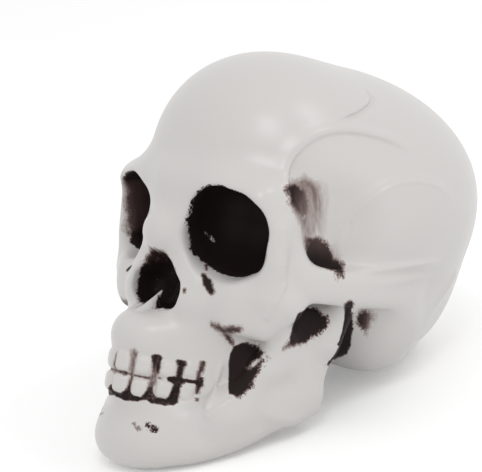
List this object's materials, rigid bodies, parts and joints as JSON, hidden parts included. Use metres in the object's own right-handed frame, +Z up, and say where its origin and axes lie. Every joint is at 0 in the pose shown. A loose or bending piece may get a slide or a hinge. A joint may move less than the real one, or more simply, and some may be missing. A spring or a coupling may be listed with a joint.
{
  "type": "skull decoration",
  "caption": "Hollow human skull decoration with a fixed jaw, bare tooth rows and deep eye sockets, resting on its chin and the back of its head.",
  "frame": {"origin": "middle of the footprint, on the surface that the skull rests on", "axes": "+Z up, the face looks along -Y, the skull's own left is +X, and the seam between the shells is the plane X = 0"},
  "size_m": [0.1322, 0.2188, 0.1621],
  "materials": {
    "bone_plastic": "glossy off-white moulded plastic with matt black paint brushed into the eye sockets, nose, tooth gaps and cheek hollows"
  },
  "bodies": {
    "root": {"left_shell": "bone_plastic", "right_shell": "bone_plastic"}
  },
  "joints": []
}
